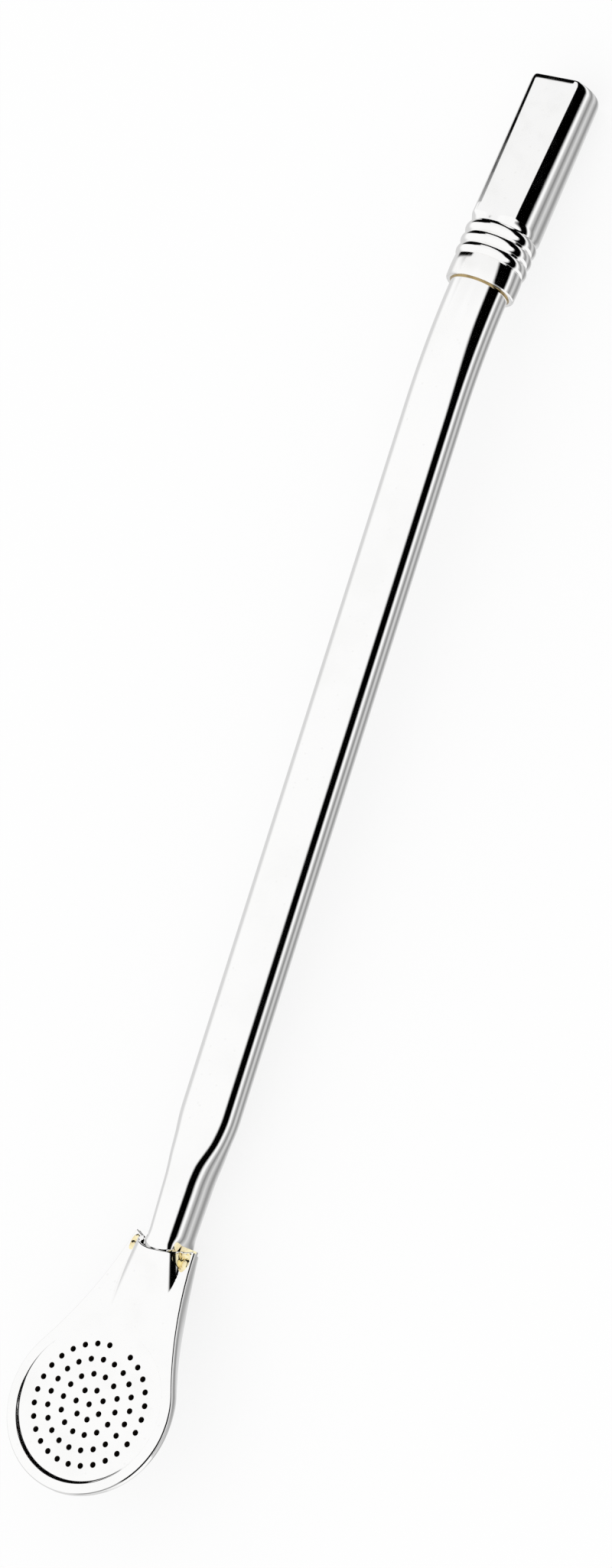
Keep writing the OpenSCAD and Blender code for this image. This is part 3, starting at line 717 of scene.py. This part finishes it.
def strainerFront():
    shape = bmesh.new()
    shape.from_mesh(runTree(floorTree()))
    edge, step = holes["floorRadius"] - holes["within"], 2 * math.pi / holes["edgePoints"]
    outer = [face for face in shape.faces if abs(face.normal.z) < holes["upright"]
             and face.calc_center_median().xy.length > edge * mm]
    bmesh.ops.delete(shape, geom=outer, context="FACES")
    for vertex in shape.verts:
        x, e, z = np.array(vertex.co) / mm
        if math.hypot(x, e) > edge:  # on the sheet's own points
            turn = round(math.atan2(x, e) / step) * step
            x, e = holes["floorRadius"] * math.sin(turn), holes["floorRadius"] * math.cos(turn)
        z += e * panSlope - spoon["panDepth"] - spoon["sheet"] / 2
        vertex.co = rimPlace((x, e, z))
    points, faces = frontSheet()
    corners = [shape.verts.new(place) for place in rimPlace(points)]
    for face in faces:
        shape.faces.new([corners[i] for i in face])
    mesh = bpy.data.meshes.new("strainerFront")
    shape.to_mesh(mesh)
    shape.free()
    # the front's underside and hole walls are coated with painted shade
    finishPiece("strainerFront", mesh, spoonMetal, "strainer_metal", ["strainer_front"],
                coats=(innerShadeFilm,), coatOf=frontCoat)


strainerFront()
print("strainer front built")

# domed back: its rim lies under the front's, and it draws in towards the stem at the neck
back = dict(lip=0.15, blend=0.8, drawFrom=4.0, drawTo=18.0, bowlRound=1.9, neckRound=4.0, within=0.03,
            across=72, least=0.05, chamfer=0.06, tipAngle=1.5, bowlSteps=49, neckSteps=73)


def backSection(e, inner):
    sheet, lip, top = spoon["sheet"], back["lip"], -spoon["sheet"]
    wide = float(rimHalf(e))
    tight = neckHalf - stem["pinchWidth"] / 2 - spoon["clearance"] - sheet - lip
    drawn = float(ease((e - back["drawFrom"]) / (back["drawTo"] - back["drawFrom"])))
    body = wide - tight * drawn - lip
    bowlRound = back["bowlRound"]
    c, t = math.cos(rimTurn), math.tan(rimTurn)

    def stemUnder(at):
        stemLow = (spoon["rimOver"] + stem["pinchHeight"] / 2) / c + (neckLength - at) * t
        return stemLow + spoon["clearance"] + sheet

    if e < 0:
        under = spoon["bowlDepth"] * (1 - min(-e / bowlRadius, 1) ** bowlRound) ** (1 / bowlRound)
    else:
        share = float(ease(e / back["drawTo"]))
        low = stemUnder(back["drawTo"]) + back["blend"]
        bowl = spoon["bowlDepth"] + (low - spoon["bowlDepth"]) * share
        neck = stemUnder(e) + back["blend"] / 4
        soft = back["blend"] * share
        under = (bowl + neck - math.sqrt((bowl - neck) ** 2 + soft ** 2)) / 2
    power = bowlRound + (back["neckRound"] - bowlRound) * float(ease(e / neckLength))
    turns = math.pi + np.linspace(0, math.pi, back["across"] + 1)
    roundX = np.sign(np.cos(turns)) * np.abs(np.cos(turns)) ** (2 / power)
    roundZ = np.abs(np.sin(turns)) ** (2 / power)
    if inner:
        half = max(body - sheet, lip)
        deep = max(under - 3 * sheet, sheet / 2)
        start, ends = top - sheet, [(half, top), (half, top - sheet / 2)]
    else:
        half = max(body, back["least"])
        deep = max(under - 2 * sheet - lip - back["within"], sheet)
        start, low, cut = top - sheet - lip, top - sheet, back["chamfer"]
        ends = [(wide, top), (wide, low + cut), (wide - cut, low)]
    section = [(-x, z) for x, z in ends]
    section += list(zip(half * roundX, start - deep * roundZ))
    return section + ends[::-1]


def strainerBack():
    tip = bowlRadius - back["within"]
    stations = list(-tip * np.cos(np.radians(np.linspace(back["tipAngle"], 90, back["bowlSteps"]))))
    stations += list(np.linspace(0, neckLength, back["neckSteps"])[1:])
    shrink = (bowlRadius - back["lip"] - spoon["sheet"]) / bowlRadius
    outer = np.array([[(x, e, z) for x, z in backSection(e, False)] for e in stations])
    inner = np.array([[(x, e * shrink if e < 0 else e, z) for x, z in backSection(e, True)]
                      for e in stations])
    points = np.concatenate([outer.reshape(-1, 3), inner.reshape(-1, 3)])
    rows, a, b = len(stations), outer.shape[1], inner.shape[1]
    shift = rows * a
    faces = gridFaces(rows, a) + gridFaces(rows, b, start=shift)
    for k in range(rows - 1):
        for i, j in ((0, 0), (a - 1, b - 1)):
            faces.append((k * a + i, (k + 1) * a + i, shift + (k + 1) * b + j, shift + k * b + j))
    outerEnd = [(rows - 1) * a + i for i in range(a)]
    innerEnd = [shift + (rows - 1) * b + i for i in range(b)]
    faces.append((outerEnd[0], outerEnd[1], outerEnd[2], innerEnd[1], innerEnd[0]))
    faces.append((outerEnd[-1], outerEnd[-2], outerEnd[-3], innerEnd[-2], innerEnd[-1]))
    for i in range(b - 3):
        faces.append((outerEnd[i + 2], outerEnd[i + 3], innerEnd[i + 2], innerEnd[i + 1]))
    faces.append(tuple(range(a)))
    faces.append(tuple(shift + i for i in range(b)))
    faces.append((0, a - 1, shift + b - 1, shift))
    # the back's inside is coated with painted shade
    makePiece("strainerBack", rimPlace(points), faces, spoonMetal, "strainer_metal", ["strainer_back"],
              coats=(innerShadeFilm, brazeMetal), coatOf=backCoat)


strainerBack()
print("strainer back built")

# golden solder that ran between the ridge's foot and the rim, and set in lumps of (x, e, radius, height); its
# outline wanders in waves of (count, size, share of the seed)
solder = dict(shadeZone=0.04, sink=0.12, edgeSink=0.02, fade=4, edge=0.1, inner=0.2, rings=44, around=128,
              sharp=70, waves=((2, 0.12, 1), (3, 0.07, 2), (5, 0.04, 1)),
              left=dict(middle=(-4.0, 21.6), reach=(0.68, 1.3), seed=0.6,
                        lumps=((-4.0, 22.3, 0.45, 0.24), (-4.15, 21.2, 0.5, 0.2))),
              right=dict(middle=(3.85, 21.75), reach=(0.9, 1.8), seed=2.3,
                         lumps=((3.4, 22.5, 0.5, 0.28), (4.15, 21.4, 0.66, 0.38), (3.6, 20.35, 0.36, 0.2),
                                (4.1, 22.9, 0.42, 0.26))))


def solderPool(name, pool, nodes):
    rings, around = solder["rings"], solder["around"]
    turns = np.linspace(0, 2 * math.pi, around, endpoint=False)
    edge = sum((size * np.sin(count * turns + share * pool["seed"])
                for count, size, share in solder["waves"]), 1)
    q = np.linspace(0, 1, rings)[1:, None]
    x = pool["middle"][0] + pool["reach"][0] * q * np.cos(turns) * edge
    e = pool["middle"][1] + pool["reach"][1] * q * np.sin(turns) * edge
    sign = math.copysign(1, pool["middle"][0])
    x = sign * np.clip(sign * x, solder["inner"], neckHalf - solder["edge"])
    e = np.minimum(e, neckEdge(x) - solder["edge"])
    skin = frontHeight(x, e)
    swell = np.zeros_like(x)
    for lumpX, lumpE, radius, height in pool["lumps"]:
        ball = (radius ** 2 + height ** 2) / (2 * height)
        cap = np.sqrt(np.maximum(ball ** 2 - (x - lumpX) ** 2 - (e - lumpE) ** 2, 0)) - ball + height
        swell = np.maximum(swell, cap)
    full = ease((1 - q) * solder["fade"])
    top = skin + (swell + solder["shadeZone"]) * full - solder["edgeSink"] * (1 - full)
    middle = np.array([[x[0].mean(), e[0].mean(), top[0].mean()]])
    low = np.array([[x[0].mean(), e[0].mean(), skin[0].mean() - solder["sink"]]])
    upper = np.stack([x, e, top], -1)
    lower = np.stack([x, e, skin - solder["sink"]], -1)[:-1]
    points = np.concatenate([middle, upper.reshape(-1, 3), lower[::-1].reshape(-1, 3), low])
    rows = 2 * (rings - 1) - 1
    faces = gridFaces(rows, around, wrapColumns=True, start=1)
    end = len(points) - 1
    for i in range(around):
        j = (i + 1) % around
        faces.append((0, 1 + j, 1 + i))
        faces.append((end, end - around + i, end - around + j))
    makePiece(name, rimPlace(points), faces, brazeMetal, "braze", nodes, sharp=solder["sharp"])


solderPool("neckBrazeLeft", solder["left"], ["neck_braze_left"])
solderPool("neckBrazeRight", solder["right"], ["neck_braze_right"])
print("solder built")

# camera: the photo's viewing angle, from the front's right, in the stem's own frame
view = dict(distance=470.0, frameHeight=205.1, eye=(233.95, 62.10, 407.64), right=(0.8255, 0.3024, -0.4766),
            up=(-0.2618, 0.9532, 0.1512), sensor=36.0)


def makeCamera():
    data = bpy.data.cameras.new("photoCamera")
    data.sensor_width = view["sensor"]
    data.lens = view["sensor"] * view["distance"] / view["frameHeight"]
    camera = bpy.data.objects.new("photoCamera", data)
    turn = Matrix.Rotation(restTurn, 3, "X")
    right = (turn @ Vector(view["right"])).normalized()
    up = (turn @ Vector(view["up"])).normalized()
    rows = Matrix((right, up, right.cross(up))).transposed()
    camera.matrix_world = Matrix.Translation(Vector(restPlace(view["eye"]))) @ rows.to_4x4()
    scene.collection.objects.link(camera)
    scene.camera = camera


# studio: a white tent with one dark gap along the horizon on the right, which the metal mirrors as its black
# lines; in degrees of rise or turn, or parts of a direction, and a pair is where a soft edge starts and ends
studio = dict(
    gapLow=-17.0, gapHigh=12.0, gapSoft=5.0, gapFrom=(-68.0, -52.0), gapTo=(138.0, 162.0),
    wider=(2.0, 20.0), widerLow=-2.0, widerHigh=14.0,
    cornerLow=(-18.0, -6.0), cornerHigh=(36.0, 43.0), cornerFar=(0.325, 0.355), cornerAside=(-0.42, -0.30),
    slantFrom=-5.0, slant=0.0035,
    stripLow=(-18.0, -10.0), stripHigh=(1.0, 9.0), stripFrom=(-108.0, -92.0), stripTo=(-46.0, -30.0),
    # the grey on the left, below the horizon, is painted shadow of the table
    stripDark=0.65, left=(-16.0, 4.0), leftTableShadow=0.70, aside=(-0.2, 0.2), card=(-0.40, -0.34),
    wallFar=(0.30, 0.45), wallLow=(20.0, 30.0), wallHigh=(60.0, 70.0), wallGrey=0.05,
    # the grey stops of (rise, grey) on the right are painted shadow of the table, seen only in reflection
    tableShadow=((-90, 0.5), (-70, 0.30), (-54, 0.70), (-40, 0.25), (-31, 0.6), (-26, 1.0)))


def makeWorld():
    world = bpy.data.worlds.new("whiteTent")
    scene.world = world
    world.use_nodes = True
    tree = world.node_tree
    shader = tree.nodes["Background"]

    def times(a, b):
        return mathNode(tree, "MULTIPLY", a, b)

    def minus(a, b):
        return mathNode(tree, "SUBTRACT", a, b)

    def ramp(source, edge, low=0.0, high=1.0):
        return rampNode(tree, source, *edge, low, high)

    def band(source, rising, falling, full=1.0):
        return times(ramp(source, rising), ramp(source, falling, full, 0.0))

    place = tree.nodes.new("ShaderNodeTexCoord")
    aim = addNode(tree, "ShaderNodeSeparateXYZ", {"Vector": place.outputs["Generated"]})
    x, y, z = aim.outputs
    rise = times(mathNode(tree, "ARCSINE", z), math.degrees(1))
    around = times(mathNode(tree, "ARCTAN2", y, x), math.degrees(1))
    low = ramp(around, studio["wider"], studio["gapLow"], studio["gapLow"] + studio["widerLow"])
    high = ramp(around, studio["wider"], studio["gapHigh"], studio["gapHigh"] + studio["widerHigh"])
    soft = -studio["gapSoft"], studio["gapSoft"]
    level = times(ramp(minus(rise, low), soft), ramp(minus(rise, high), soft, 1.0, 0.0))
    gap = times(level, band(around, studio["gapFrom"], studio["gapTo"]))
    # a dark corner of the room far behind the mouthpiece's end, along a slanting line
    slant = minus(y, times(minus(rise, studio["slantFrom"]), studio["slant"]))
    corner = times(band(rise, studio["cornerLow"], studio["cornerHigh"]),
                   times(ramp(slant, studio["cornerFar"]), ramp(x, studio["cornerAside"], 1.0, 0.0)))
    # a grey strip before the spoon's end, which draws the lower edge of the rim
    strip = times(band(rise, studio["stripLow"], studio["stripHigh"]),
                  band(around, studio["stripFrom"], studio["stripTo"], studio["stripDark"]))
    dark = mathNode(tree, "MAXIMUM", mathNode(tree, "MAXIMUM", gap, corner), strip)
    # painted shadow of the table, seen only in reflection: grey stripes on the right, on a ramp from straight
    # down to the horizon, and an even grey on the left; and a far wall a little off white
    down = 90
    tableShadow = addNode(tree, "ShaderNodeValToRGB", {"Fac": mathNode(tree, "MULTIPLY_ADD", rise, 1 / down, 1.0)})
    stops = tableShadow.color_ramp.elements
    for index, (degrees, grey) in enumerate(studio["tableShadow"]):
        stop = stops.new(1 + degrees / down) if index else stops[0]
        stop.position, stop.color = 1 + degrees / down, (grey, grey, grey, 1.0)
    # painted shadow of the table on the left, below the horizon
    left = ramp(rise, studio["left"], studio["leftTableShadow"], 1.0)
    card = ramp(y, studio["card"], 1.0, 0.0)  # white paper beside the spoon
    right = mathNode(tree, "MAXIMUM", tableShadow.outputs["Color"], card)
    sides = addNode(tree, "ShaderNodeMix", {"Factor": ramp(x, studio["aside"]), "A": left, "B": right})
    wall = times(ramp(y, studio["wallFar"], 0.0, studio["wallGrey"]),
                 band(rise, studio["wallLow"], studio["wallHigh"]))
    mirrored = times(times(sides.outputs[0], minus(1.0, dark)), minus(1.0, wall))
    path = tree.nodes.new("ShaderNodeLightPath")
    shown = addNode(tree, "ShaderNodeMix", {"Factor": path.outputs["Is Glossy Ray"], "A": 1.0, "B": mirrored})
    tree.links.new(shown.outputs[0], shader.inputs["Color"])
    shader.inputs["Strength"].default_value = 1.0


ground = dict(half=1.5, grey=0.97, glow=0.8)  # half its side is in metres


def makeFloor():
    mesh = bpy.data.meshes.new("floor")
    half, grey = ground["half"], ground["grey"]
    corners = [(-half, -half, 0), (half, -half, 0), (half, half, 0), (-half, half, 0)]
    mesh.from_pydata(corners, [], [(0, 1, 2, 3)])
    floor = bpy.data.objects.new("floor", mesh)
    scene.collection.objects.link(floor)
    floor.visible_glossy = False  # the metal mirrors the tent's own lower half
    material, tree = newMaterial("paleFloor")
    tree.nodes.remove(tree.nodes["Principled BSDF"])
    out = tree.nodes["Material Output"]
    paper = addNode(tree, "ShaderNodeBsdfDiffuse", {"Color": (grey, grey, grey, 1.0)})
    glow = addNode(tree, "ShaderNodeEmission", {"Color": (1.0, 1.0, 1.0, 1.0), "Strength": 1.0})
    path = tree.nodes.new("ShaderNodeLightPath")
    share = mathNode(tree, "MULTIPLY", path.outputs["Is Camera Ray"], ground["glow"])
    mix = addNode(tree, "ShaderNodeMixShader", {0: share, 1: paper.outputs[0], 2: glow.outputs[0]})
    tree.links.new(mix.outputs[0], out.inputs["Surface"])
    mesh.materials.append(material)


makeCamera()
makeWorld()
makeFloor()
print("camera, studio and floor ready")
